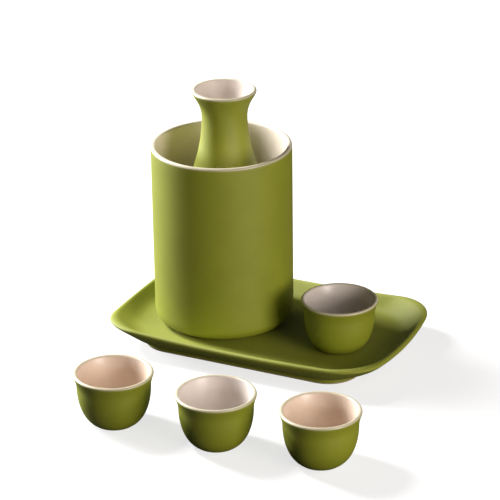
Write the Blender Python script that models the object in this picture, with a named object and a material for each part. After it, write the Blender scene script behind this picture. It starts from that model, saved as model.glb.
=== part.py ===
"""Sake set in matt green stoneware: a bottle warming in its jar on a tray, with four cups.

Metres, +Z up. The set stands on z = 0 and is centred on the origin, the tray's length along X.
Every round piece is turned from half a cross-section: out along its inside floor, up the inside
of the wall, over the lip, down the outside and back to the axis under the foot.
"""

import math

import bmesh
import bpy
from mathutils import Vector
from mathutils.geometry import interpolate_bezier

# Gap left under a piece that rests on another
REST_GAP = 0.0003

# Foot rings: every piece stands on a narrow ring round a shallow hollow
FOOT_RING_WIDTH = 0.003
FOOT_HOLLOW = 0.001

# Warming jar: a straight-sided beaker for hot water
JAR_DIAMETER = 0.090
JAR_HEIGHT = 0.1196
JAR_WALL = 0.0034
JAR_FLOOR = 0.005
JAR_EDGE_RADIUS = 0.0085
JAR_INNER_EDGE_RADIUS = 0.006

# Bottle: flared lip, waisted neck, sloping shoulder and a full belly that clears the jar's bore
WATER_GAP = 0.008
BOTTLE_HEIGHT = 0.151
BOTTLE_WALL = 0.0028
BOTTLE_FLOOR = 0.005
BOTTLE_LIP_RADIUS = 0.0205
BOTTLE_LIP_TILT = math.radians(17)
BOTTLE_LIP_PULL = 0.0027
BOTTLE_NECK_RADIUS = 0.0145
BOTTLE_NECK_DROP = 0.0184
BOTTLE_NECK_PULL = 0.0091
BOTTLE_SHOULDER_PULL = 0.0328
BOTTLE_BELLY_HEIGHT = 0.051
BOTTLE_BELLY_PULL = 0.0225
BOTTLE_BASE_RADIUS = 0.024
BOTTLE_BASE_PULL = 0.012
BOTTLE_BASE_RISE = math.radians(18)
BOTTLE_OFFSET = Vector((0.0021, 0.0010))

# Cups: straight upper wall with a small flare at the lip, rounding in to a narrow foot
CUP_HEIGHT = 0.0336
CUP_RIM_RADIUS = 0.02435
CUP_WALL = 0.0026
CUP_FLOOR = 0.004
CUP_LIP_TILT = math.radians(24)
CUP_LIP_PULL = 0.0016
CUP_SIDE_RADIUS = 0.0225
CUP_SIDE_HEIGHT = 0.0245
CUP_FLARE_PULL = 0.0024
CUP_BOWL_PULL = 0.0095
CUP_BASE_RADIUS = 0.0132
CUP_BASE_PULL = 0.0079
CUP_BASE_RISE = math.radians(32)
FOOT_EDGE = 0.0005

# Tray: a flat floor with room for the jar and one cup, and sides that sweep up to a rounded rim
TRAY_LEFT_ROOM = 0.0051
TRAY_RIGHT_ROOM = 0.0095
TRAY_BACK_ROOM = 0.0044
TRAY_FRONT_ROOM = 0.0150
TRAY_JAR_TO_CUP = 0.0185
TRAY_CUP_FORWARD = 0.0135
TRAY_FLOOR_HEIGHT = 0.0086
TRAY_FLOOR_CORNER = 0.0200
TRAY_RIM_CORNER = 0.0260
TRAY_CORNER_SWELL = 0.0080
TRAY_BOW = 0.0019
TRAY_SIDE_WIDTH = 0.0140
TRAY_END_WIDTH = 0.0200
TRAY_RIM_HEIGHT = 0.0166
TRAY_RIM_THICKNESS = 0.0036
TRAY_RIM_TILT = math.radians(46)
TRAY_CORNER_LIFT = 0.0026
TRAY_SIDE_PULL = 0.0062
TRAY_RIM_PULL = 0.0044
TRAY_UNDER_PULL = 0.0050
TRAY_FOOT_WIDTH = 0.0040
TRAY_FOOT_HEIGHT = 0.0040
TRAY_FOOT_DRAFT = 0.0004

# Loose cups, standing on the table in front of the tray
LOOSE_ROW_START = -0.0361
LOOSE_LEFT_FORWARD = 0.0570
LOOSE_MIDDLE_FORWARD = 0.0565
LOOSE_RIGHT_FORWARD = 0.0510
LOOSE_LEFT_TO_MIDDLE = 0.0199
LOOSE_MIDDLE_TO_RIGHT = 0.0167

# Facets
JAR_STEPS = 44
BOTTLE_STEPS = 36
CUP_STEPS = 28
CURVE_POINTS = 6
FLARE_POINTS = 4
LIP_POINTS = 5
EDGE_POINTS = 5
TRAY_SIDE_POINTS = 4
TRAY_CORNER_POINTS = 9
SHARP_ANGLE = math.radians(40)
WELD = 0.000001

# Glaze
GREEN = (0.262, 0.295, 0.030, 1.0)
ROUGHNESS = 0.55

UP = Vector((0, 1))


def slant(angle):
    """A unit step in a cross-section, angle above the outward direction."""
    return Vector((math.cos(angle), math.sin(angle)))


def curve(start, start_handle, end_handle, end, points=CURVE_POINTS):
    """Points along a cubic curve in a cross-section, both ends included."""
    return interpolate_bezier(start, start_handle, end_handle, end, points)


def arc(centre, radius, first, last, points):
    """Points along a circular arc in a cross-section, both ends included."""
    turn = (last - first) / (points - 1)
    return [centre + radius * slant(first + turn * step) for step in range(points)]


def lip(radius, height, thickness, tilt):
    """A rounded lip, from its inner side over the top to its outer side, leaning out by tilt."""
    centre = Vector((radius - thickness / 2, height - thickness / 2))
    return arc(centre, thickness / 2, math.pi - tilt, -tilt, LIP_POINTS)


def foot(radius):
    """A flat foot ring out to radius, and the shallow hollow inside it up to the axis."""
    inner = radius - FOOT_RING_WIDTH
    return [
        Vector((radius, 0)),
        Vector((inner, 0)),
        Vector((inner - FOOT_HOLLOW, FOOT_HOLLOW)),
        Vector((0, FOOT_HOLLOW)),
    ]


def glaze(name):
    """Matt green glaze for one piece."""
    material = bpy.data.materials.new(name)
    material.use_nodes = True
    shader = material.node_tree.nodes["Principled BSDF"]
    shader.inputs["Base Color"].default_value = GREEN
    shader.inputs["Roughness"].default_value = ROUGHNESS
    shader.inputs["Metallic"].default_value = 0.0
    return material


def finish(bm, name):
    """The closed, smooth-shaded mesh of one piece, with its own glaze."""
    bmesh.ops.remove_doubles(bm, verts=bm.verts, dist=WELD)
    bmesh.ops.recalc_face_normals(bm, faces=bm.faces)
    mesh = bpy.data.meshes.new(name)
    bm.to_mesh(mesh)
    bm.free()
    mesh.shade_smooth()
    mesh.set_sharp_from_angle(angle=SHARP_ANGLE)
    mesh.materials.append(glaze(name + "_glaze"))
    return mesh


def turned(name, profile, steps):
    """A mesh turned about Z from half a cross-section."""
    bm = bmesh.new()
    verts = [bm.verts.new((point.x, 0, point.y)) for point in profile]
    edges = [bm.edges.new(pair) for pair in zip(verts, verts[1:])]
    bmesh.ops.spin(
        bm,
        geom=verts + edges,
        cent=(0, 0, 0),
        axis=(0, 0, 1),
        angle=2 * math.pi,
        steps=steps,
        use_merge=True,
    )
    return finish(bm, name)


def place(name, mesh, parent, x, y, z):
    """One piece, standing at x, y, z from the origin of the piece that carries it."""
    piece = bpy.data.objects.new(name, mesh)
    bpy.context.scene.collection.objects.link(piece)
    piece.parent = parent
    piece.location = (x, y, z)
    return piece


jar_radius = JAR_DIAMETER / 2
jar_bore_radius = jar_radius - JAR_WALL
jar_base_radius = jar_radius - JAR_EDGE_RADIUS


def jar_profile():
    """Straight wall with a round lip, a generous round at the outer base and a smaller one inside."""
    inner_edge = Vector((jar_bore_radius - JAR_INNER_EDGE_RADIUS, JAR_FLOOR + JAR_INNER_EDGE_RADIUS))
    outer_edge = Vector((jar_base_radius, JAR_EDGE_RADIUS))
    return [
        Vector((0, JAR_FLOOR)),
        *arc(inner_edge, JAR_INNER_EDGE_RADIUS, -math.pi / 2, 0, EDGE_POINTS),
        *lip(jar_radius, JAR_HEIGHT, JAR_WALL, 0),
        *arc(outer_edge, JAR_EDGE_RADIUS, 0, -math.pi / 2, EDGE_POINTS),
        *foot(jar_base_radius),
    ]


def bottle_side(lip_end, inset, base):
    """One face of the bottle's wall from lip to base: flare, waist, shoulder and belly."""
    belly_radius = jar_bore_radius - WATER_GAP
    waist = Vector((BOTTLE_NECK_RADIUS - inset, BOTTLE_HEIGHT - BOTTLE_NECK_DROP))
    belly = Vector((belly_radius - inset, BOTTLE_BELLY_HEIGHT))
    lip_handle = lip_end - BOTTLE_LIP_PULL * slant(math.pi / 2 - BOTTLE_LIP_TILT)
    base_handle = base + BOTTLE_BASE_PULL * slant(BOTTLE_BASE_RISE)
    flare = curve(lip_end, lip_handle, waist + BOTTLE_NECK_PULL * UP, waist)
    shoulder = curve(waist, waist - BOTTLE_SHOULDER_PULL * UP, belly + BOTTLE_BELLY_PULL * UP, belly)
    underside = curve(belly, belly - BOTTLE_BELLY_PULL * UP, base_handle, base)
    return flare + shoulder + underside


def bottle_profile():
    """Even wall round a hollow that opens through the neck."""
    rim = lip(BOTTLE_LIP_RADIUS, BOTTLE_HEIGHT, BOTTLE_WALL, BOTTLE_LIP_TILT)
    inner_base = Vector((BOTTLE_BASE_RADIUS - BOTTLE_WALL, BOTTLE_FLOOR))
    outer_base = Vector((BOTTLE_BASE_RADIUS, FOOT_EDGE))
    return [
        Vector((0, BOTTLE_FLOOR)),
        *reversed(bottle_side(rim[0], BOTTLE_WALL, inner_base)),
        *rim,
        *bottle_side(rim[-1], 0, outer_base),
        *foot(BOTTLE_BASE_RADIUS - FOOT_EDGE),
    ]


def cup_side(lip_end, inset, base):
    """One face of a cup's wall from lip to base: small flare, straight side and round bowl."""
    side = Vector((CUP_SIDE_RADIUS - inset, CUP_SIDE_HEIGHT))
    lip_handle = lip_end - CUP_LIP_PULL * slant(math.pi / 2 - CUP_LIP_TILT)
    base_handle = base + CUP_BASE_PULL * slant(CUP_BASE_RISE)
    flare = curve(lip_end, lip_handle, side + CUP_FLARE_PULL * UP, side, FLARE_POINTS)
    bowl = curve(side, side - CUP_BOWL_PULL * UP, base_handle, base)
    return flare + bowl


def cup_profile():
    """Even wall round an open bowl."""
    rim = lip(CUP_RIM_RADIUS, CUP_HEIGHT, CUP_WALL, CUP_LIP_TILT)
    inner_base = Vector((CUP_BASE_RADIUS - CUP_WALL, CUP_FLOOR))
    outer_base = Vector((CUP_BASE_RADIUS, FOOT_EDGE))
    return [
        Vector((0, CUP_FLOOR)),
        *reversed(cup_side(rim[0], CUP_WALL, inner_base)),
        *rim,
        *cup_side(rim[-1], 0, outer_base),
        *foot(CUP_BASE_RADIUS - FOOT_EDGE),
    ]


tray_floor_length = (
    TRAY_LEFT_ROOM
    + jar_base_radius
    + jar_radius
    + TRAY_JAR_TO_CUP
    + CUP_RIM_RADIUS
    + CUP_BASE_RADIUS
    + TRAY_RIGHT_ROOM
)
tray_floor_width = TRAY_BACK_ROOM + 2 * jar_base_radius + TRAY_FRONT_ROOM
tray_half_length = tray_floor_length / 2 + TRAY_END_WIDTH
tray_half_width = tray_floor_width / 2 + TRAY_SIDE_WIDTH
tray_rim_share = 1 - TRAY_RIM_THICKNESS / TRAY_SIDE_WIDTH


def tray_outline(share):
    """The tray's outline a share of the way from the floor, 0, out to the rim, 1.

    It is a round-cornered rectangle with bowed short sides. A quarter is drawn from the middle of
    the right side to the middle of the back, each point standing off the corner's centre, or off
    the bowed side, by the corner radius. The other quarters mirror it. The radius swells on the way
    up, which makes the rim broad at the corners. The ends' extra width is used up below the rim, so
    the rim is as thick there as along the sides.
    """
    climb = min(max(share, 0), 1)
    swell = TRAY_CORNER_SWELL * math.sin(math.pi * climb)
    reach = TRAY_FLOOR_CORNER + climb * (TRAY_RIM_CORNER - TRAY_FLOOR_CORNER) + swell
    spread = math.sin(min(climb / tray_rim_share, 1) * math.pi / 2)
    side = share * TRAY_SIDE_WIDTH
    end = side + spread * (TRAY_END_WIDTH - TRAY_SIDE_WIDTH)
    core_x = tray_floor_length / 2 + end - TRAY_BOW - reach
    core_y = tray_floor_width / 2 + side - reach
    quarter = []
    for step in range(TRAY_SIDE_POINTS):
        y = core_y * step / TRAY_SIDE_POINTS
        bowed = Vector((core_x + TRAY_BOW * (1 - (y / core_y) ** 2), y))
        quarter.append(bowed + reach * slant(math.atan(2 * TRAY_BOW * y / core_y**2)))
    first = math.atan(2 * TRAY_BOW / core_y)
    quarter += arc(Vector((core_x, core_y)), reach, first, math.pi / 2, TRAY_CORNER_POINTS)
    half = quarter + [Vector((-point.x, point.y)) for point in reversed(quarter)]
    return half + [-point for point in half[1:-1]]


def tray_section():
    """Cross-section of a long side, from floor to hollow: distance outside the floor, height."""
    floor_edge = Vector((0, TRAY_FLOOR_HEIGHT))
    rim = lip(TRAY_SIDE_WIDTH, TRAY_RIM_HEIGHT, TRAY_RIM_THICKNESS, TRAY_RIM_TILT)
    down_rim = -slant(math.pi / 2 - TRAY_RIM_TILT)
    foot_top = Vector((0, TRAY_FOOT_HEIGHT))
    foot_out = Vector((-TRAY_FOOT_DRAFT, 0))
    foot_in = foot_out - Vector((TRAY_FOOT_WIDTH, 0))
    hollow = foot_in + Vector((-TRAY_FOOT_DRAFT, TRAY_FOOT_HEIGHT))
    side_handle = floor_edge + Vector((TRAY_SIDE_PULL, 0))
    under_handle = foot_top + Vector((TRAY_UNDER_PULL, 0))
    inside = curve(floor_edge, side_handle, rim[0] + TRAY_RIM_PULL * down_rim, rim[0])
    outside = curve(rim[-1], rim[-1] + TRAY_RIM_PULL * down_rim, under_handle, foot_top)
    return inside + rim + outside + [foot_out, foot_in, hollow]


def tray_mesh():
    """Rings of the outline, one for each point of the section, bridged and closed by two flats.

    Towards the rim the corners rise a little above the middles of the sides.
    """
    bm = bmesh.new()
    rings = []
    for point in tray_section():
        share = point.x / TRAY_SIDE_WIDTH
        outline = tray_outline(share)
        corner = max(abs(spot.x * spot.y) for spot in outline) ** 2
        sweep = max(share, 0)
        ring = []
        for spot in outline:
            lift = TRAY_CORNER_LIFT * sweep**2 * (spot.x * spot.y) ** 2 / corner
            ring.append(bm.verts.new((spot.x, spot.y, point.y + lift)))
        rings.append(ring)
    for inner, outer in zip(rings, rings[1:]):
        for index in range(len(inner)):
            bm.faces.new((inner[index - 1], outer[index - 1], outer[index], inner[index]))
    bm.faces.new(rings[0])
    bm.faces.new(rings[-1])
    return finish(bm, "tray")


for leftover in list(bpy.data.objects):
    bpy.data.objects.remove(leftover, do_unlink=True)

# Where the pieces stand, from the middle of the tray
jar_x = TRAY_LEFT_ROOM + jar_base_radius - tray_floor_length / 2
jar_y = tray_floor_width / 2 - TRAY_BACK_ROOM - jar_base_radius
tray_cup_x = jar_x + jar_radius + TRAY_JAR_TO_CUP + CUP_RIM_RADIUS
tray_cup_y = jar_y - TRAY_CUP_FORWARD
left_cup_x = LOOSE_ROW_START
middle_cup_x = left_cup_x + 2 * CUP_RIM_RADIUS + LOOSE_LEFT_TO_MIDDLE
right_cup_x = middle_cup_x + 2 * CUP_RIM_RADIUS + LOOSE_MIDDLE_TO_RIGHT
row_y = -tray_half_width - CUP_RIM_RADIUS
rest_height = TRAY_FLOOR_HEIGHT + REST_GAP

# The set's middle, so that the origin lies under it
set_left = min(-tray_half_length, left_cup_x - CUP_RIM_RADIUS)
set_right = max(tray_half_length, right_cup_x + CUP_RIM_RADIUS)
loose_forward = max(LOOSE_LEFT_FORWARD, LOOSE_MIDDLE_FORWARD, LOOSE_RIGHT_FORWARD)
set_front = row_y - loose_forward - CUP_RIM_RADIUS

cup_mesh = turned("cup", cup_profile(), CUP_STEPS)
sake_set = place(
    "sake_set",
    None,
    None,
    -(set_left + set_right) / 2,
    -(set_front + tray_half_width) / 2,
    0,
)
tray = place("tray", tray_mesh(), sake_set, 0, 0, 0)
jar = place("warming_jar", turned("warming_jar", jar_profile(), JAR_STEPS), tray, jar_x, jar_y, rest_height)
bottle_mesh = turned("sake_bottle", bottle_profile(), BOTTLE_STEPS)
place("sake_bottle", bottle_mesh, jar, BOTTLE_OFFSET.x, BOTTLE_OFFSET.y, JAR_FLOOR + REST_GAP)
place("cup_on_tray", cup_mesh, tray, tray_cup_x, tray_cup_y, rest_height)
place("cup_left", cup_mesh, tray, left_cup_x, row_y - LOOSE_LEFT_FORWARD, 0)
place("cup_middle", cup_mesh, tray, middle_cup_x, row_y - LOOSE_MIDDLE_FORWARD, 0)
place("cup_right", cup_mesh, tray, right_cup_x, row_y - LOOSE_RIGHT_FORWARD, 0)
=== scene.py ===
import math

import bpy
import numpy as np
from mathutils import Matrix, Vector


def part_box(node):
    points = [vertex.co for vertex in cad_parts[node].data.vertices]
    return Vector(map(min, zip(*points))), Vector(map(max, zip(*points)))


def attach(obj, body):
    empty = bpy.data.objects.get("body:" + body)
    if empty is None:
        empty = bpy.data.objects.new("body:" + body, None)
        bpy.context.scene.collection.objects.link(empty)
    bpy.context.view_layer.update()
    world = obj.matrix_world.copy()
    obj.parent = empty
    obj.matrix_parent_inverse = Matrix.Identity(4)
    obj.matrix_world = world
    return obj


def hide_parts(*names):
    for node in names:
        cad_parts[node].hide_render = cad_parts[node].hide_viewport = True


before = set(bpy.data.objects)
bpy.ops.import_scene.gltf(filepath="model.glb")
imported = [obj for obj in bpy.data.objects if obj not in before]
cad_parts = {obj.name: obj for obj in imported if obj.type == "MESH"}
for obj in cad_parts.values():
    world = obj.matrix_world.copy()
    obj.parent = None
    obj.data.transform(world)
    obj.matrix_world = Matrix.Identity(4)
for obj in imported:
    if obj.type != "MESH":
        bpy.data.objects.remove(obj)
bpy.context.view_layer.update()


# Tray: one slip-cast stoneware plate in matt green glaze, wiped bare on the foot that it stands on.
# Its sides sweep up from a flat floor to a rolled rim, and the corners lift a little above the sides.
TRAY_SIDE_WIDTH = 0.0140
TRAY_END_WIDTH = 0.0200
TRAY_FLOOR_HEIGHT = 0.0086
TRAY_FLOOR_CORNER = 0.0200
TRAY_RIM_CORNER = 0.0260
TRAY_CORNER_SWELL = 0.0080
TRAY_BOW = 0.0019
TRAY_RIM_HEIGHT = 0.0166
TRAY_RIM_THICKNESS = 0.0036
TRAY_RIM_TILT = math.radians(46)
TRAY_CORNER_LIFT = 0.0026
TRAY_SIDE_PULL = 0.0062
TRAY_RIM_PULL = 0.0044
TRAY_UNDER_PULL = 0.0050
TRAY_FOOT_WIDTH = 0.0040
TRAY_FOOT_HEIGHT = 0.0040
TRAY_FOOT_DRAFT = 0.0004
TRAY_FLAT_REACH = 0.012
TRAY_ROWS = 84
TRAY_FLAT_RINGS = 3
TRAY_SOFTNESS = 0.0004
END_STEPS = 14
CORNER_STEPS = 30
SIDE_STEPS = 22
MILLIMETRES = 1000.0
FAR_FROM_FOOT = 99.0

tray_low, tray_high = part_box("tray")
tray_middle = (np.array(tray_low) + np.array(tray_high)) / 2
tray_floor_length = tray_high[0] - tray_low[0] - 2 * TRAY_END_WIDTH
tray_floor_width = tray_high[1] - tray_low[1] - 2 * TRAY_SIDE_WIDTH
tray_rim_share = 1 - TRAY_RIM_THICKNESS / TRAY_SIDE_WIDTH


def slant(angle):
    """A unit step in a cross-section: cosine outwards and sine upwards of the angle."""
    return np.array([np.cos(angle), np.sin(angle)])


def bow(start, start_handle, end_handle, end, count=48):
    """A cubic curve: its four points weighted by the Bernstein polynomials of an even parameter."""
    t = np.linspace(0, 1, count)[:, None]
    near = (1 - t) ** 3 * start + 3 * t * (1 - t) ** 2 * start_handle
    return near + 3 * t**2 * (1 - t) * end_handle + t**3 * end


def arc(centre, radius, first, last, count=32):
    """A circular arc: the centre plus the radius times a slant that turns evenly from first to last."""
    turn = np.linspace(first, last, count)
    return centre + radius * slant(turn).T


def lip(radius, height, thickness, tilt):
    """A round lip as half a circle, from its inner side over the top to its outer side, leaning out."""
    centre = np.array([radius - thickness / 2, height - thickness / 2])
    return arc(centre, thickness / 2, math.pi - tilt, -tilt)


def run(points):
    """Length along a line of points: the running sum of the distances between neighbours."""
    steps = np.linalg.norm(np.diff(points, axis=0), axis=1)
    return np.concatenate([[0], np.cumsum(steps)])


def pick(wanted, length, points):
    """Points of a line at the wanted lengths along it, in straight proportion between neighbours."""
    return np.stack([np.interp(wanted, length, points[:, axis]) for axis in (0, 1)], axis=1)


def ease(points, softness, rows, step=0.0001, flat_row=0.004, turn_row=math.radians(9)):
    """A cross-section with its creases rounded, as a set number of rows.

    Points at even steps along it are averaged with Gaussian weights. The rows then stand at equal
    shares of length plus turning, so they crowd on lips and feet and spread out on plain walls.
    """
    length = run(points)
    fine = pick(np.linspace(0, length[-1], int(length[-1] / step)), length, points)
    reach = int(3 * softness / step)
    weights = np.exp(-0.5 * (np.arange(-reach, reach + 1) * step / softness) ** 2)
    weights /= weights.sum()
    ahead = 2 * fine[0] - fine[reach:0:-1]
    after = 2 * fine[-1] - fine[-2:-reach - 2:-1]
    padded = np.vstack([ahead, fine, after])
    soft = np.stack([np.convolve(padded[:, axis], weights, "valid") for axis in (0, 1)], axis=1)
    heading = np.unwrap(np.arctan2(*np.gradient(soft, axis=0).T[::-1]))
    effort = run(soft) / flat_row + np.abs(np.gradient(heading)).cumsum() / turn_row
    return pick(np.linspace(effort[0], effort[-1], rows), effort, soft)


def past(points, mark):
    """Millimetres along a cross-section from the place nearest to mark: minus before it, plus after."""
    length = run(points)
    return (length - length[np.argmin(np.linalg.norm(points - mark, axis=1))]) * MILLIMETRES


def skin(name, rings, first_pole, last_pole, **marks):
    """A closed mesh over rings of points, shaped rows x columns x 3, with a pole beyond each end.

    Faces join each point to its neighbours in its own ring and the next, the last column to the first,
    and a fan closes each pole. A mark is a number for each row and pole, kept as a point attribute.
    """
    rows, columns = rings.shape[:2]
    points = np.vstack([first_pole, rings.reshape(-1, 3), last_pole])
    here = 1 + np.arange(rows * columns).reshape(rows, columns)
    beside = np.roll(here, -1, axis=1)
    walls = np.stack([here[:-1], here[1:], beside[1:], beside[:-1]], axis=-1).reshape(-1, 4)
    first_fan = np.stack([np.zeros_like(here[0]), here[0], beside[0]], axis=-1)
    last_fan = np.stack([here[-1], np.full_like(here[0], len(points) - 1), beside[-1]], axis=-1)
    mesh = bpy.data.meshes.new(name)
    mesh.from_pydata(points.tolist(), [], walls.tolist() + first_fan.tolist() + last_fan.tolist())
    for mark, values in marks.items():
        spread = np.concatenate([values[:1], np.repeat(values[1:-1], columns), values[-1:]])
        mesh.attributes.new(mark, "FLOAT", "POINT").data.foreach_set("value", spread)
    mesh.shade_smooth()
    piece = bpy.data.objects.new(name, mesh)
    bpy.context.scene.collection.objects.link(piece)
    return piece


def tray_outline(share):
    """The tray's outline at each share of the way from its floor, 0, to its rim, 1, as rows of x and of y.

    A quarter runs from the middle of the right end along a parabola, round the corner on an arc and
    straight along the back. All of it stands off a core line by the corner's radius, which grows evenly
    and swells by half a sine wave on the way, so the rim is broad at the corners. The ends' extra width
    grows by a quarter wave up to where the rim starts, so the rim is as round there as along the sides.
    Mirroring the quarter gives half of the outline, and turning the half gives the rest.
    """
    share = share[:, None]
    climb = np.clip(share, 0, 1)
    swell = TRAY_CORNER_SWELL * np.sin(math.pi * climb)
    reach = TRAY_FLOOR_CORNER + climb * (TRAY_RIM_CORNER - TRAY_FLOOR_CORNER) + swell
    spread = np.sin(np.clip(share / tray_rim_share, 0, 1) * math.pi / 2)
    end_reach = share * TRAY_SIDE_WIDTH + spread * (TRAY_END_WIDTH - TRAY_SIDE_WIDTH)
    core_x = tray_floor_length / 2 + end_reach - TRAY_BOW - reach
    core_y = tray_floor_width / 2 + share * TRAY_SIDE_WIDTH - reach
    along = np.linspace(0, 1, END_STEPS, endpoint=False)
    lean = np.arctan(2 * TRAY_BOW * along / core_y)
    first = np.arctan(2 * TRAY_BOW / core_y)
    turn = first + (math.pi / 2 - first) * np.linspace(0, 1, CORNER_STEPS)
    back = np.linspace(1, 0, SIDE_STEPS)[1:]
    end_x = core_x + TRAY_BOW * (1 - along**2) + reach * np.cos(lean)
    end_y = core_y * along + reach * np.sin(lean)
    x = np.hstack([end_x, core_x + reach * np.cos(turn), core_x * back])
    y = np.hstack([end_y, core_y + reach * np.sin(turn), core_y + reach + 0 * back])
    half_x = np.hstack([x, -x[:, -2:0:-1]])
    half_y = np.hstack([y, y[:, -2:0:-1]])
    return np.hstack([half_x, -half_x]), np.hstack([half_y, -half_y])


def tray_section():
    """The tray's cross-section, as distance outside the floor's edge and height.

    Floor, a curve up the inside, half a circle over the rim, a curve back under it, foot and hollow.
    """
    floor_edge = np.array([0, TRAY_FLOOR_HEIGHT])
    rim = lip(TRAY_SIDE_WIDTH, TRAY_RIM_HEIGHT, TRAY_RIM_THICKNESS, TRAY_RIM_TILT)
    down_rim = -TRAY_RIM_PULL * slant(math.pi / 2 - TRAY_RIM_TILT)
    foot_top = np.array([0, TRAY_FOOT_HEIGHT])
    foot_out = np.array([-TRAY_FOOT_DRAFT, 0])
    foot_in = foot_out - [TRAY_FOOT_WIDTH, 0]
    hollow = foot_in + [-TRAY_FOOT_DRAFT, TRAY_FOOT_HEIGHT]
    inside = bow(floor_edge, floor_edge + [TRAY_SIDE_PULL, 0], rim[0] + down_rim, rim[0])
    under = bow(rim[-1], rim[-1] + down_rim, foot_top + [TRAY_UNDER_PULL, 0], foot_top)
    floor_start = [-TRAY_FLAT_REACH, TRAY_FLOOR_HEIGHT]
    hollow_end = [-TRAY_FLAT_REACH, TRAY_FOOT_HEIGHT]
    return np.vstack([floor_start, inside, rim[1:], under[1:], foot_out, foot_in, hollow, hollow_end])


tray_line = ease(tray_section(), TRAY_SOFTNESS, TRAY_ROWS)
tray_share = tray_line[:, 0] / TRAY_SIDE_WIDTH
tray_x, tray_y = tray_outline(tray_share)
corner = (tray_x * tray_y) ** 2
corner /= corner.max(axis=1, keepdims=True)
tray_lift = TRAY_CORNER_LIFT * np.maximum(tray_share, 0)[:, None] ** 2 * corner
tray_sides = np.stack([tray_x, tray_y, tray_line[:, 1:] + tray_lift], axis=-1)
inwards = np.linspace(0, 1, TRAY_FLAT_RINGS + 2)[1:-1, None, None]
tray_floor = tray_sides[:1] * [1, 1, 0] * inwards + [0, 0, TRAY_FLOOR_HEIGHT]
tray_hollow = tray_sides[-1:] * [1, 1, 0] * inwards[::-1] + [0, 0, TRAY_FOOT_HEIGHT]
tray_place = np.array([tray_middle[0], tray_middle[1], tray_low[2]])
off_foot = past(tray_line, [-TRAY_FOOT_DRAFT - TRAY_FOOT_WIDTH / 2, 0])
far = np.full(TRAY_FLAT_RINGS + 1, FAR_FROM_FOOT)
tray = skin(
    "glazed_tray",
    np.vstack([tray_floor, tray_sides, tray_hollow]) + tray_place,
    tray_place + [0, 0, TRAY_FLOOR_HEIGHT],
    tray_place + [0, 0, TRAY_FOOT_HEIGHT],
    off_foot=np.concatenate([-far, off_foot, far]),
)

COAT_DEEP = (0.238, 0.262, 0.0085, 1.0)
COAT_PALE = (0.264, 0.289, 0.0101, 1.0)
COAT_SPECK = (0.085, 0.080, 0.018, 1.0)
COAT_SPECK_SHARE = 0.55
BARE_CLAY = (0.520, 0.420, 0.300, 1.0)
BARE_CLAY_SPECK = (0.300, 0.210, 0.130, 1.0)
CLAY_EDGES = (0.45, 0.75)
CLOUD_SCALE = 45.0
CLOUD_DETAIL = 3.0
CLOUD_EDGES = (0.30, 0.70)
CLOUD_RELIEF = 1.4
GRAIN_SCALE = 1900.0
GRAIN_DETAIL = 2.0
DUST_EDGES = (0.35, 0.70)
DUST_SHARE = 0.30
SPECK_SCALE = 420.0
SPECK_EDGES = (0.05, 0.17)
SPECK_CHOICE = (0.80, 0.90)
SPECK_PIT = -0.5
WIPE_SCALE = 220.0
WIPE_DETAIL = 2.0
WIPE_WANDER = 0.9
WIPE_SOFTNESS = 0.15
RELIEF_STRENGTH = 0.35
RELIEF_DEPTH = 0.00012
TRAY_ROUGHNESS = 0.64
TRAY_GRAIN_ROUGHER_BY = 0.16
TRAY_BARE_ROUGHER_BY = 0.16
TRAY_GLOSS = 0.92


def node(tree, kind, values, **settings):
    """A new node. Values go to the inputs so named or numbered: sockets are linked, other values set."""
    made = tree.nodes.new("ShaderNode" + kind)
    for setting, choice in settings.items():
        setattr(made, setting, choice)
    for place, value in values.items():
        if isinstance(value, bpy.types.NodeSocket):
            tree.links.new(value, made.inputs[place])
        else:
            made.inputs[place].default_value = value
    return made


def effect(name, inputs, outputs):
    """An empty node group for an effect that finishes share. Place is where on the piece it works."""
    tree = bpy.data.node_groups.new(name, "ShaderNodeTree")
    for socket in inputs:
        kind = "NodeSocketVector" if socket == "Place" else "NodeSocketFloat"
        tree.interface.new_socket(socket, in_out="INPUT", socket_type=kind)
    for socket in outputs:
        tree.interface.new_socket(socket, in_out="OUTPUT", socket_type="NodeSocketFloat")
    return tree, tree.nodes.new("NodeGroupInput").outputs, tree.nodes.new("NodeGroupOutput").inputs


def math_node(tree, operation, *values):
    """The result of one sum on numbers or sockets."""
    return node(tree, "Math", dict(enumerate(values)), operation=operation).outputs[0]


def noise(tree, place, scale, detail):
    """Soft random values from 0 to 1, about scale of them to a metre, with finer layers by detail."""
    return node(tree, "TexNoise", {"Vector": place, "Scale": scale, "Detail": detail}).outputs["Fac"]


def ramp(tree, value, low, high, to_low=0.0, to_high=1.0):
    """A smooth step from to_low to to_high as value goes from low to high."""
    ends = {"Value": value, "From Min": low, "From Max": high, "To Min": to_low, "To Max": to_high}
    return node(tree, "MapRange", ends, interpolation_type="SMOOTHSTEP").outputs["Result"]


def blend(tree, share, start, end):
    """A colour share of the way from start to end."""
    mixed = node(tree, "Mix", {"Factor": share}, data_type="RGBA")
    for socket, colour in (("A", start), ("B", end)):
        target = next(entry for entry in mixed.inputs if entry.name == socket and entry.type == "RGBA")
        if isinstance(colour, bpy.types.NodeSocket):
            tree.links.new(colour, target)
        else:
            target.default_value = colour
    return next(entry for entry in mixed.outputs if entry.type == "RGBA")


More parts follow.
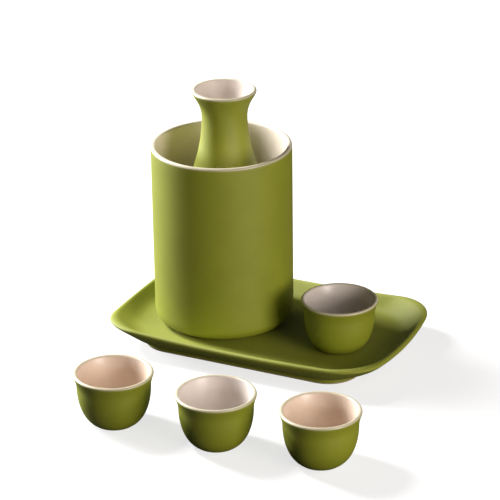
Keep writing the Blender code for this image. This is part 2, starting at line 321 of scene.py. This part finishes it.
# Matt glaze never dries evenly: slow clouds where the coat is thicker, a fine powdery grain,
# and scattered pinpricks of iron
grain, given, result = effect(
    "glaze_grain",
    ["Place", "Cloud Scale", "Grain Scale", "Speck Scale"],
    ["Cloud", "Grain", "Speck", "Height"],
)
cloud = noise(grain, given["Place"], given["Cloud Scale"], CLOUD_DETAIL)
powder = noise(grain, given["Place"], given["Grain Scale"], GRAIN_DETAIL)
cells = node(grain, "TexVoronoi", {"Vector": given["Place"], "Scale": given["Speck Scale"]}).outputs
dots = ramp(grain, cells["Distance"], *SPECK_EDGES, 1.0, 0.0)
lot = node(grain, "SeparateColor", {"Color": cells["Color"]}).outputs["Red"]
pricks = math_node(grain, "MULTIPLY", dots, ramp(grain, lot, *SPECK_CHOICE))
relief = math_node(grain, "MULTIPLY_ADD", cloud, CLOUD_RELIEF, powder)
grain.links.new(ramp(grain, cloud, *CLOUD_EDGES), result["Cloud"])
grain.links.new(powder, result["Grain"])
grain.links.new(pricks, result["Speck"])
grain.links.new(math_node(grain, "MULTIPLY_ADD", pricks, SPECK_PIT, relief), result["Height"])

# The wiped foot: bare clay within half a ring's width of its middle, with an edge that wanders a little
foot_wipe, given, result = effect("wiped_foot", ["Place", "Distance", "Half Width"], ["Bare"])
wander = noise(foot_wipe, given["Place"], WIPE_SCALE, WIPE_DETAIL)
wander = math_node(foot_wipe, "SUBTRACT", wander, 0.5)
from_middle = math_node(foot_wipe, "ABSOLUTE", given["Distance"])
from_edge = math_node(foot_wipe, "SUBTRACT", from_middle, given["Half Width"])
strayed = math_node(foot_wipe, "MULTIPLY_ADD", wander, WIPE_WANDER, from_edge)
foot_wipe.links.new(ramp(foot_wipe, strayed, -WIPE_SOFTNESS, WIPE_SOFTNESS, 1.0, 0.0), result["Bare"])


def clay_and_coat(tree, bare_half_width):
    """Nodes that every piece shares: its place, grain, green coat, and bare clay with its mask."""
    place = node(tree, "TexCoord", {}).outputs["Object"]
    scales = {"Cloud Scale": CLOUD_SCALE, "Grain Scale": GRAIN_SCALE, "Speck Scale": SPECK_SCALE}
    texture = node(tree, "Group", {"Place": place, **scales}, node_tree=grain).outputs
    coat = blend(tree, texture["Cloud"], COAT_DEEP, COAT_PALE)
    dusted = ramp(tree, texture["Grain"], *DUST_EDGES, 0.0, DUST_SHARE)
    coat = blend(tree, dusted, coat, COAT_PALE)
    specks = math_node(tree, "MULTIPLY", texture["Speck"], COAT_SPECK_SHARE)
    coat = blend(tree, specks, coat, COAT_SPECK)
    clay = blend(tree, ramp(tree, texture["Grain"], *CLAY_EDGES), BARE_CLAY, BARE_CLAY_SPECK)
    distance = node(tree, "Attribute", {}, attribute_name="off_foot").outputs["Fac"]
    foot_values = {"Place": place, "Distance": distance, "Half Width": bare_half_width}
    bare = node(tree, "Group", foot_values, node_tree=foot_wipe).outputs["Bare"]
    return place, texture, coat, clay, bare


def matt_finish(tree, colour, roughness, height, gloss):
    """Puts the colour, the roughness and a shallow relief on the material's own shader."""
    shader = tree.nodes["Principled BSDF"]
    lifted = {"Height": height, "Strength": RELIEF_STRENGTH, "Distance": RELIEF_DEPTH}
    tree.links.new(colour, shader.inputs["Base Color"])
    tree.links.new(roughness, shader.inputs["Roughness"])
    tree.links.new(node(tree, "Bump", lifted).outputs["Normal"], shader.inputs["Normal"])
    shader.inputs["Specular IOR Level"].default_value = gloss


def green_glaze(name, bare_half_width):
    """Matt green all over, but for the wiped foot."""
    material = bpy.data.materials.new(name)
    material.use_nodes = True
    tree = material.node_tree
    _, texture, coat, clay, bare = clay_and_coat(tree, bare_half_width)
    rough = math_node(tree, "MULTIPLY_ADD", texture["Grain"], TRAY_GRAIN_ROUGHER_BY, TRAY_ROUGHNESS)
    rough = math_node(tree, "MULTIPLY_ADD", bare, TRAY_BARE_ROUGHER_BY, rough)
    matt_finish(tree, blend(tree, bare, coat, clay), rough, texture["Height"], TRAY_GLOSS)
    return material


tray.data.materials.append(green_glaze("tray_matt_green", TRAY_FOOT_WIDTH / 2 * MILLIMETRES))
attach(tray, "tray")
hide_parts("tray")


# Warming jar: a straight slip-cast beaker, loose on the tray, that holds hot water round the bottle.
# Pale satin glaze lines it and rolls over the lip, and the green coat outside stops just under that lip.
JAR_WALL = 0.0034
JAR_FLOOR = 0.005
JAR_EDGE_RADIUS = 0.0085
JAR_INNER_EDGE_RADIUS = 0.006
JAR_ROWS = 96
JAR_COLUMNS = 168
FOOT_RING_WIDTH = 0.003
FOOT_HOLLOW = 0.001
POT_SOFTNESS = 0.0003
COAT_START = math.radians(11)

# Painted shade: the jar's lining is the bottle's pale glaze written darker, for the shade inside the jar.
JAR_LINING = ((0.760, 0.670, 0.566, 1.0), (0.822, 0.731, 0.628, 1.0))
LINING_SPECK_SHARE = 0.25
LIP_CREAM = (0.630, 0.570, 0.395, 1.0)
LIP_EDGES = (-4.0, -1.0)
LINE_SCALE = 90.0
LINE_DETAIL = 3.0
LINE_WANDER = 0.35
LINE_SOFTNESS = 0.22
THIN_EDGES = (0.1, 1.4)
THIN_SHARE = 0.15
LINING_ROUGHNESS = 0.30
COAT_ROUGHER_BY = 0.26
POT_GRAIN_ROUGHER_BY = 0.12
POT_BARE_ROUGHER_BY = 0.28
POT_GLOSS = 0.70


def foot(radius):
    """A flat foot ring in from radius, a slope up inside it, and the hollow's flat to the axis."""
    inner = radius - FOOT_RING_WIDTH
    return np.array([[radius, 0], [inner, 0], [inner - FOOT_HOLLOW, FOOT_HOLLOW], [0, FOOT_HOLLOW]])


def turned(name, node_name, section, lip_edge, foot_radius, rows, columns):
    """A round piece, standing where the middle of the node's box stands.

    Each point of the eased cross-section, at radius r, is carried round the axis to (r cos a, r sin a)
    at every even angle a.
    """
    low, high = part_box(node_name)
    axis = np.array([(low[0] + high[0]) / 2, (low[1] + high[1]) / 2, low[2]])
    line = ease(section, POT_SOFTNESS, rows)
    line[[0, -1], 0] = 0
    angle = np.linspace(0, 2 * math.pi, columns, endpoint=False)
    radius, height = line[1:-1, :1], line[1:-1, 1:]
    rings = np.stack([radius * np.cos(angle), radius * np.sin(angle), height + 0 * angle], axis=-1)
    return skin(
        name,
        rings + axis,
        axis + [0, 0, line[0, 1]],
        axis + [0, 0, line[-1, 1]],
        past_lip=past(line, lip_edge),
        off_foot=past(line, [foot_radius - FOOT_RING_WIDTH / 2, 0]),
    )


def coat_edge(radius, height, wall):
    """Where the green coat starts: on the lip's round, a little above its outermost point."""
    return np.array([radius, height]) - wall / 2 + wall / 2 * slant(COAT_START)


def jar_section():
    """Straight wall with a round lip, a wide round at the outer base and a smaller one inside."""
    inner = np.array([jar_radius - JAR_WALL - JAR_INNER_EDGE_RADIUS, JAR_FLOOR + JAR_INNER_EDGE_RADIUS])
    outer = np.array([jar_radius - JAR_EDGE_RADIUS, JAR_EDGE_RADIUS])
    return np.vstack([
        [0, JAR_FLOOR],
        arc(inner, JAR_INNER_EDGE_RADIUS, -math.pi / 2, 0),
        lip(jar_radius, jar_height, JAR_WALL, 0),
        arc(outer, JAR_EDGE_RADIUS, 0, -math.pi / 2),
        foot(jar_radius - JAR_EDGE_RADIUS)[1:],
    ])


jar_low, jar_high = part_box("warming_jar")
jar_radius = (jar_high[0] - jar_low[0]) / 2
jar_height = jar_high[2] - jar_low[2]
jar = turned(
    "glazed_jar",
    "warming_jar",
    jar_section(),
    coat_edge(jar_radius, jar_height, JAR_WALL),
    jar_radius - JAR_EDGE_RADIUS,
    JAR_ROWS,
    JAR_COLUMNS,
)

# Where the two glazes meet: the green coat's edge wanders a little and thins out over the last millimetres
glaze_line, given, result = effect(
    "glaze_line",
    ["Place", "Distance", "Wander", "Softness"],
    ["Coat", "Thin"],
)
slow = noise(glaze_line, given["Place"], LINE_SCALE, LINE_DETAIL)
shift = math_node(glaze_line, "MULTIPLY", math_node(glaze_line, "SUBTRACT", slow, 0.5), given["Wander"])
strayed = math_node(glaze_line, "ADD", given["Distance"], shift)
before = math_node(glaze_line, "MULTIPLY", given["Softness"], -1.0)
glaze_line.links.new(ramp(glaze_line, strayed, before, given["Softness"]), result["Coat"])
glaze_line.links.new(ramp(glaze_line, strayed, *THIN_EDGES, 1.0, 0.0), result["Thin"])


def lined_glaze(name, lining):
    """Green coat outside, pale satin lining inside and over the lip, and a wiped foot."""
    material = bpy.data.materials.new(name)
    material.use_nodes = True
    tree = material.node_tree
    place, texture, coat, clay, bare = clay_and_coat(tree, FOOT_RING_WIDTH / 2 * MILLIMETRES)
    distance = node(tree, "Attribute", {}, attribute_name="past_lip").outputs["Fac"]
    line_values = {"Place": place, "Distance": distance, "Wander": LINE_WANDER, "Softness": LINE_SOFTNESS}
    edge = node(tree, "Group", line_values, node_tree=glaze_line).outputs
    pale = blend(tree, texture["Cloud"], *lining)
    pale = blend(tree, ramp(tree, distance, *LIP_EDGES), pale, LIP_CREAM)
    specks = math_node(tree, "MULTIPLY", texture["Speck"], LINING_SPECK_SHARE)
    pale = blend(tree, specks, pale, BARE_CLAY_SPECK)
    coat = blend(tree, math_node(tree, "MULTIPLY", edge["Thin"], THIN_SHARE), coat, LIP_CREAM)
    colour = blend(tree, bare, blend(tree, edge["Coat"], pale, coat), clay)
    rough = math_node(tree, "MULTIPLY_ADD", edge["Coat"], COAT_ROUGHER_BY, LINING_ROUGHNESS)
    rough = math_node(tree, "MULTIPLY_ADD", texture["Grain"], POT_GRAIN_ROUGHER_BY, rough)
    rough = math_node(tree, "MULTIPLY_ADD", bare, POT_BARE_ROUGHER_BY, rough)
    matt_finish(tree, colour, rough, texture["Height"], POT_GLOSS)
    return material


jar.data.materials.append(lined_glaze("jar_green_and_white", JAR_LINING))
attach(jar, "warming_jar")
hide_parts("warming_jar")


# Bottle: a slip-cast tokkuri that stands loose in the jar, gripped by its waisted neck.
# Its lip flares, its shoulder slopes to a full belly, and the pale lining shows down the throat.
BOTTLE_WALL = 0.0028
BOTTLE_FLOOR = 0.005
BOTTLE_LIP_RADIUS = 0.0205
BOTTLE_LIP_TILT = math.radians(17)
BOTTLE_LIP_PULL = 0.0027
BOTTLE_NECK_RADIUS = 0.0145
BOTTLE_NECK_DROP = 0.0184
BOTTLE_NECK_PULL = 0.0091
BOTTLE_SHOULDER_PULL = 0.0328
BOTTLE_BELLY_RADIUS = 0.0336
BOTTLE_BELLY_HEIGHT = 0.051
BOTTLE_BELLY_PULL = 0.0225
BOTTLE_BASE_RADIUS = 0.024
BOTTLE_BASE_PULL = 0.012
BOTTLE_BASE_RISE = math.radians(18)
BOTTLE_HEIGHT = 0.151
FOOT_EDGE = 0.0005
BOTTLE_ROWS = 128
BOTTLE_COLUMNS = 128
# Painted light: the bottle's lining is the jar's pale glaze written lighter, for the light that reaches
# down its throat.
BOTTLE_LINING = ((0.792, 0.704, 0.625, 1.0), (0.858, 0.763, 0.684, 1.0))
UP = np.array([0, 1])


def bottle_side(lip_end, inset, base):
    """One face of the bottle's wall from lip to base: three cubic curves, upright at waist and belly."""
    waist = np.array([BOTTLE_NECK_RADIUS - inset, BOTTLE_HEIGHT - BOTTLE_NECK_DROP])
    belly = np.array([BOTTLE_BELLY_RADIUS - inset, BOTTLE_BELLY_HEIGHT])
    lip_handle = lip_end - BOTTLE_LIP_PULL * slant(math.pi / 2 - BOTTLE_LIP_TILT)
    base_handle = base + BOTTLE_BASE_PULL * slant(BOTTLE_BASE_RISE)
    flare = bow(lip_end, lip_handle, waist + BOTTLE_NECK_PULL * UP, waist)
    shoulder = bow(waist, waist - BOTTLE_SHOULDER_PULL * UP, belly + BOTTLE_BELLY_PULL * UP, belly)
    underside = bow(belly, belly - BOTTLE_BELLY_PULL * UP, base_handle, base)
    return np.vstack([flare, shoulder[1:], underside[1:]])


def bottle_section():
    """Floor, inner wall up to the lip, the round lip, outer wall down to the base, and the foot."""
    rim = lip(BOTTLE_LIP_RADIUS, BOTTLE_HEIGHT, BOTTLE_WALL, BOTTLE_LIP_TILT)
    inner = bottle_side(rim[0], BOTTLE_WALL, np.array([BOTTLE_BASE_RADIUS - BOTTLE_WALL, BOTTLE_FLOOR]))
    outer = bottle_side(rim[-1], 0, np.array([BOTTLE_BASE_RADIUS, FOOT_EDGE]))
    base = foot(BOTTLE_BASE_RADIUS - FOOT_EDGE)
    return np.vstack([[0, BOTTLE_FLOOR], inner[::-1], rim[1:], outer[1:], base])


bottle = turned(
    "glazed_bottle",
    "sake_bottle",
    bottle_section(),
    coat_edge(BOTTLE_LIP_RADIUS, BOTTLE_HEIGHT, BOTTLE_WALL),
    BOTTLE_BASE_RADIUS - FOOT_EDGE,
    BOTTLE_ROWS,
    BOTTLE_COLUMNS,
)
bottle.data.materials.append(lined_glaze("bottle_green_and_white", BOTTLE_LINING))
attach(bottle, "sake_bottle")
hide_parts("sake_bottle")


# Cups: four stoneware tumblers cast in one mould, one on the tray and three loose on the table in front.
# The side rounds in to a narrow foot and flares a little at the lip. Two linings fired a warmer tone.
CUP_HEIGHT = 0.0336
CUP_RIM_RADIUS = 0.02435
CUP_WALL = 0.0026
CUP_FLOOR = 0.004
CUP_LIP_TILT = math.radians(24)
CUP_LIP_PULL = 0.0016
CUP_SIDE_RADIUS = 0.0225
CUP_SIDE_HEIGHT = 0.0245
CUP_FLARE_PULL = 0.0024
CUP_BOWL_PULL = 0.0095
CUP_BASE_RADIUS = 0.0132
CUP_BASE_PULL = 0.0079
CUP_BASE_RISE = math.radians(32)
CUP_ROWS = 88
CUP_COLUMNS = 112
# Painted shade on both cup linings: they are written darker than the jar's and bottle's, for how the cups
# are lit. The rose is the same pale glaze as theirs; the peach is a warmer glaze of its own.
ROSE_LINING = ((0.700, 0.629, 0.576, 1.0), (0.762, 0.688, 0.632, 1.0))
PEACH_LINING = ((0.711, 0.573, 0.459, 1.0), (0.767, 0.627, 0.513, 1.0))


def cup_side(lip_end, inset, base):
    """One face of a cup's wall from lip to base: two cubic curves that meet upright, a flare and a bowl."""
    side = np.array([CUP_SIDE_RADIUS - inset, CUP_SIDE_HEIGHT])
    lip_handle = lip_end - CUP_LIP_PULL * slant(math.pi / 2 - CUP_LIP_TILT)
    base_handle = base + CUP_BASE_PULL * slant(CUP_BASE_RISE)
    flare = bow(lip_end, lip_handle, side + CUP_FLARE_PULL * UP, side)
    bowl = bow(side, side - CUP_BOWL_PULL * UP, base_handle, base)
    return np.vstack([flare, bowl[1:]])


def cup_section():
    """Floor, inner wall up to the lip, the round lip, outer wall down to the base, and the foot."""
    rim = lip(CUP_RIM_RADIUS, CUP_HEIGHT, CUP_WALL, CUP_LIP_TILT)
    inner = cup_side(rim[0], CUP_WALL, np.array([CUP_BASE_RADIUS - CUP_WALL, CUP_FLOOR]))
    outer = cup_side(rim[-1], 0, np.array([CUP_BASE_RADIUS, FOOT_EDGE]))
    base = foot(CUP_BASE_RADIUS - FOOT_EDGE)
    return np.vstack([[0, CUP_FLOOR], inner[::-1], rim[1:], outer[1:], base])


for cup_node, lining in (
    ("cup_on_tray", ROSE_LINING),
    ("cup_left", PEACH_LINING),
    ("cup_middle", ROSE_LINING),
    ("cup_right", PEACH_LINING),
):
    cup = turned(
        "glazed_" + cup_node,
        cup_node,
        cup_section(),
        coat_edge(CUP_RIM_RADIUS, CUP_HEIGHT, CUP_WALL),
        CUP_BASE_RADIUS - FOOT_EDGE,
        CUP_ROWS,
        CUP_COLUMNS,
    )
    cup.data.materials.append(lined_glaze(cup_node + "_green_and_pale", lining))
    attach(cup, cup_node)
    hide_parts(cup_node)


# Table: a plain pale top of matt paint that the set stands on. Looked at, it is near white round the set,
# where it keeps the shadows, and white further off. It throws back less light than that, so that
# undersides stay dark.
TABLE_RINGS = (4.0, 2.0, 0.8, 0.3, 0.1, 0.02)
TABLE_COLUMNS = 96
TABLE_PALE = (0.40, 0.40, 0.40, 1.0)
TABLE_BOUNCE = (0.05, 0.05, 0.05, 1.0)
TABLE_GLOW = 0.72
TABLE_NEAR = 0.45
TABLE_FAR = 1.10
TABLE_ROUGHNESS = 0.9
WHITE = (1.0, 1.0, 1.0, 1.0)
MIRRORED_SHARE = 0.03


def looked_at(tree):
    """1 for rays straight from the camera or through glass, a small share in reflections, otherwise 0."""
    seen = node(tree, "LightPath", {}).outputs
    mirrored = math_node(tree, "MULTIPLY", seen["Is Glossy Ray"], MIRRORED_SHARE)
    straight = math_node(tree, "MAXIMUM", seen["Is Camera Ray"], seen["Is Transmission Ray"])
    return math_node(tree, "MAXIMUM", straight, mirrored)


ring = np.array(TABLE_RINGS)[:, None]
angle = np.linspace(0, 2 * math.pi, TABLE_COLUMNS, endpoint=False)
disc = np.stack([ring * np.cos(angle), ring * np.sin(angle), 0 * ring + 0 * angle], axis=-1)
here = np.arange(disc.size // 3).reshape(disc.shape[:2])
beside = np.roll(here, -1, axis=1)
faces = np.stack([here[:-1], beside[:-1], beside[1:], here[1:]], axis=-1).reshape(-1, 4)
table_mesh = bpy.data.meshes.new("table_top")
table_mesh.from_pydata(disc.reshape(-1, 3).tolist(), [], faces.tolist() + [here[-1].tolist()])
table = bpy.data.objects.new("table_top", table_mesh)
bpy.context.scene.collection.objects.link(table)
table_paint = bpy.data.materials.new("table_pale")
table_paint.use_nodes = True
tree = table_paint.node_tree
paint = tree.nodes["Principled BSDF"].inputs
view = looked_at(tree)
place = node(tree, "TexCoord", {}).outputs["Object"]
from_set = node(tree, "VectorMath", {0: place}, operation="LENGTH").outputs["Value"]
glow = ramp(tree, from_set, TABLE_NEAR, TABLE_FAR, TABLE_GLOW, 1.0)
tree.links.new(blend(tree, view, TABLE_BOUNCE, TABLE_PALE), paint["Base Color"])
tree.links.new(math_node(tree, "MULTIPLY", view, glow), paint["Emission Strength"])
paint["Emission Color"].default_value = WHITE
paint["Roughness"].default_value = TABLE_ROUGHNESS
paint["Specular IOR Level"].default_value = 0.0
table_paint.cycles.emission_sampling = "NONE"
table_mesh.materials.append(table_paint)


# Light: soft boxes. A high and a low key stand at the left, a little behind, and two warm fills at the
# front right. A weak one behind lifts the rims, and the room is dim, but white where it is looked at.
SET_MIDDLE = Vector((0.0, 0.0, 0.05))
CAMERA_SIDE = math.radians(-63.9)
PLAIN_LIGHT = (1.0, 1.0, 1.0)
WARM_LIGHT = (1.0, 0.91, 0.85)
FAINTLY_WARM_LIGHT = (1.0, 0.96, 0.90)
ROOM_DIM = (0.02, 0.02, 0.02, 1.0)


def lamp(name, turn, height, distance, width, tall, power, colour):
    """A soft box that faces the set. Its turn is anticlockwise from the camera's side, in degrees."""
    light = bpy.data.lights.new(name, "AREA")
    light.shape = "RECTANGLE"
    light.size = width
    light.size_y = tall
    light.energy = power
    light.color = colour
    holder = bpy.data.objects.new(name, light)
    bpy.context.scene.collection.objects.link(holder)
    bearing = CAMERA_SIDE + math.radians(turn)
    holder.location = (distance * math.cos(bearing), distance * math.sin(bearing), height)
    holder.rotation_euler = (SET_MIDDLE - holder.location).to_track_quat("-Z", "Y").to_euler()
    holder.visible_camera = False


lamp("key_high", turn=-125, height=0.86, distance=1.02,
     width=0.32, tall=0.45, power=30.6, colour=PLAIN_LIGHT)
lamp("key_low", turn=-119, height=0.34, distance=1.267,
     width=0.34, tall=0.35, power=19.6, colour=PLAIN_LIGHT)
lamp("fill_front_right", turn=41, height=0.30, distance=1.276,
     width=0.5, tall=0.5, power=11.2, colour=WARM_LIGHT)
lamp("fill_near_right", turn=52, height=0.33, distance=0.45,
     width=0.2, tall=0.2, power=0.39, colour=FAINTLY_WARM_LIGHT)
lamp("rim_behind", turn=150, height=0.276, distance=1.28,
     width=0.5, tall=0.5, power=0.68, colour=PLAIN_LIGHT)

world = bpy.data.worlds.new("dim_room")
bpy.context.scene.world = world
world.use_nodes = True
tree = world.node_tree
room = blend(tree, looked_at(tree), ROOM_DIM, WHITE)
tree.links.new(room, tree.nodes["Background"].inputs["Color"])


# Camera: a long lens from the front right, above the set and turned a touch clockwise.
# It looks along the line from its place to its target, with its upright turned by the roll.
CAMERA_PLACE = Vector((0.608075, -1.239720, 0.692768))
CAMERA_TARGET = Vector((-0.026418, 0.053917, 0.060000))
CAMERA_ROLL = math.radians(-0.8582)
CAMERA_LENS = 176.914
CAMERA_SENSOR = 36.0
CAMERA_NEAR = 0.05
CAMERA_FAR = 50.0

ahead = (CAMERA_TARGET - CAMERA_PLACE).normalized()
level = ahead.cross(Vector((0, 0, 1))).normalized()
upright = level.cross(ahead)
right = level * math.cos(CAMERA_ROLL) + upright * math.sin(CAMERA_ROLL)
facing = Matrix((right, right.cross(ahead), -ahead)).transposed()
lens = bpy.data.cameras.new("long_lens")
lens.lens = CAMERA_LENS
lens.sensor_width = CAMERA_SENSOR
lens.clip_start = CAMERA_NEAR
lens.clip_end = CAMERA_FAR
camera = bpy.data.objects.new("camera", lens)
camera.matrix_world = Matrix.Translation(CAMERA_PLACE) @ facing.to_4x4()
bpy.context.scene.collection.objects.link(camera)
bpy.context.scene.camera = camera
bpy.context.scene.view_settings.view_transform = "Standard"
